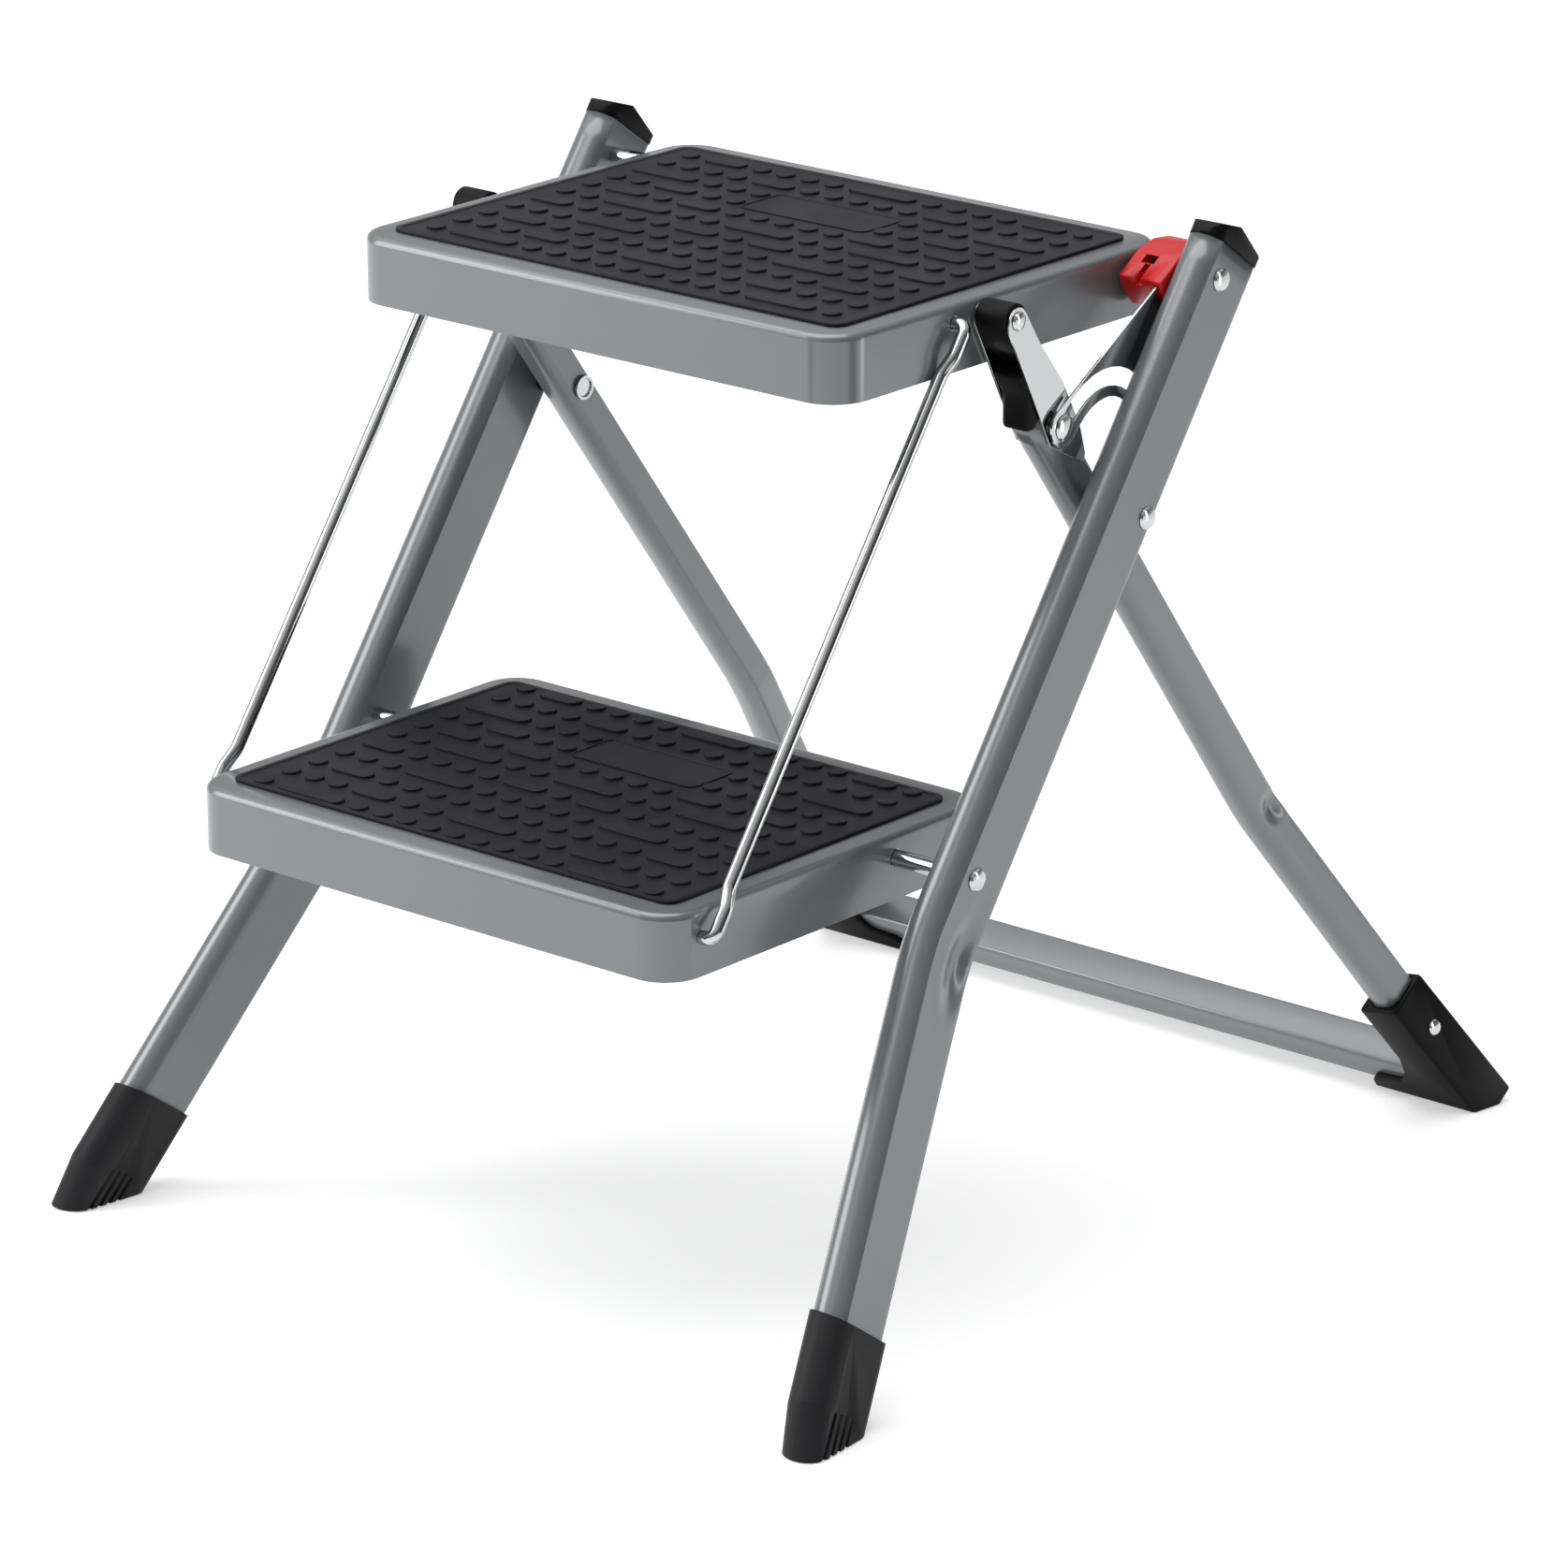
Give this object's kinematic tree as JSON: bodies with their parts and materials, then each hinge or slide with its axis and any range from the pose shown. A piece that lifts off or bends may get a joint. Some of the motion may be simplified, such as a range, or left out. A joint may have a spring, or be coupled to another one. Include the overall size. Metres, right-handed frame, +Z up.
{
  "type": "folding step stool",
  "caption": "Low folding step stool: crossed tube frames, pressed treads with rubber mats, side links, wires, a slotted stay and a thumb catch.",
  "frame": {"origin": "On the floor under the middle of the open stool's bounding box.", "axes": "+X to the side with the catch, +Y to the back (the rear frame's feet), +Z up. The lower tread is at -Y."},
  "size_m": [0.4788, 0.5626, 0.4834],
  "materials": {
    "silver_paint": "satin silver-grey enamel",
    "chrome_steel": "bright zinc or chrome plate",
    "black_plastic": "fine-grained black plastic",
    "black_rubber": "matt black rubber",
    "mat_rubber": "dark grey rubber with a raised grip pattern",
    "red_plastic": "bright red plastic"
  },
  "bodies": {
    "front_frame": {"front_leg_right": "silver_paint", "front_leg_left": "silver_paint", "front_cap_right": "black_plastic", "front_cap_left": "black_plastic", "front_foot_right": "black_rubber", "front_foot_left": "black_rubber", "top_rod": "chrome_steel", "lower_rod": "chrome_steel", "cross_rivet_right": "chrome_steel", "cross_rivet_left": "chrome_steel", "cross_spacer_right": "black_plastic", "cross_spacer_left": "black_plastic"},
    "rear_frame": {"rear_leg_right": "silver_paint", "rear_leg_left": "silver_paint", "rear_cross_bar": "silver_paint", "rear_cap_right": "black_plastic", "rear_cap_left": "black_plastic", "rear_foot_right": "black_plastic", "rear_foot_left": "black_plastic", "foot_rivet_right": "chrome_steel", "foot_rivet_left": "chrome_steel", "knee_stud_right": "chrome_steel", "knee_stud_left": "chrome_steel"},
    "top_step": {"top_tread": "silver_paint", "top_mat": "mat_rubber"},
    "lower_step": {"lower_tread": "silver_paint", "lower_mat": "mat_rubber"},
    "wire_right": {"tread_wire_right": "chrome_steel"},
    "wire_left": {"tread_wire_left": "chrome_steel"},
    "link_right": {"link_inner_right": "chrome_steel", "link_outer_right": "chrome_steel", "link_pin_right": "chrome_steel", "link_sleeve_right": "black_plastic"},
    "link_left": {"link_inner_left": "chrome_steel", "link_outer_left": "chrome_steel", "link_pin_left": "chrome_steel", "link_sleeve_left": "black_plastic"},
    "stay": {"stay_plate": "chrome_steel"},
    "catch": {"catch": "red_plastic"}
  },
  "joints": [
    {"name": "rear_fold", "type": "hinge", "parent": "front_frame", "child": "rear_frame", "pos_m": [0, 0.00795, 0.3565], "axis": [-1, 0, 0], "range_deg": [0, 70]},
    {"name": "top_step_tilt", "type": "hinge", "parent": "front_frame", "child": "top_step", "pos_m": [0, 0.06035, 0.457], "axis": [1, 0, 0], "range_deg": [0, 50.6]},
    {"name": "lower_step_tilt", "type": "hinge", "parent": "front_frame", "child": "lower_step", "pos_m": [0, -0.11265, 0.2155], "axis": [1, 0, 0], "range_deg": [0, 50.6]},
    {"name": "wire_turn_right", "type": "hinge", "parent": "top_step", "child": "wire_right", "pos_m": [0.147, -0.07285, 0.4558], "axis": [-1, 0, 0], "range_deg": [0, 50.6]},
    {"name": "wire_turn_left", "type": "hinge", "parent": "top_step", "child": "wire_left", "pos_m": [-0.147, -0.07285, 0.4558], "axis": [-1, 0, 0], "range_deg": [0, 50.6]},
    {"name": "link_turn_right", "type": "hinge", "parent": "rear_frame", "child": "link_right", "pos_m": [0.167, -0.02465, 0.402], "axis": [1, 0, 0], "range_deg": [0, 164.9]},
    {"name": "link_turn_left", "type": "hinge", "parent": "rear_frame", "child": "link_left", "pos_m": [-0.167, -0.02465, 0.402], "axis": [1, 0, 0], "range_deg": [0, 164.9]},
    {"name": "stay_swing", "type": "hinge", "parent": "front_frame", "child": "stay", "pos_m": [0.171, 0.06035, 0.457], "axis": [1, 0, 0], "range_deg": [0, 13.1]},
    {"name": "catch_lift", "type": "hinge", "parent": "front_frame", "child": "catch", "pos_m": [0.162, 0.06035, 0.457], "axis": [-1, 0, 0], "range_deg": [0, 25]}
  ],
  "couplings": [
    {"joint": "top_step_tilt", "follows": "rear_fold", "ratio": 0.7214},
    {"joint": "lower_step_tilt", "follows": "rear_fold", "ratio": 0.7214},
    {"joint": "wire_turn_right", "follows": "rear_fold", "ratio": 0.7214},
    {"joint": "wire_turn_left", "follows": "rear_fold", "ratio": 0.7214},
    {"joint": "link_turn_right", "follows": "rear_fold", "ratio": 2.354},
    {"joint": "link_turn_left", "follows": "rear_fold", "ratio": 2.354},
    {"joint": "stay_swing", "follows": "rear_fold", "ratio": 0.1857}
  ]
}
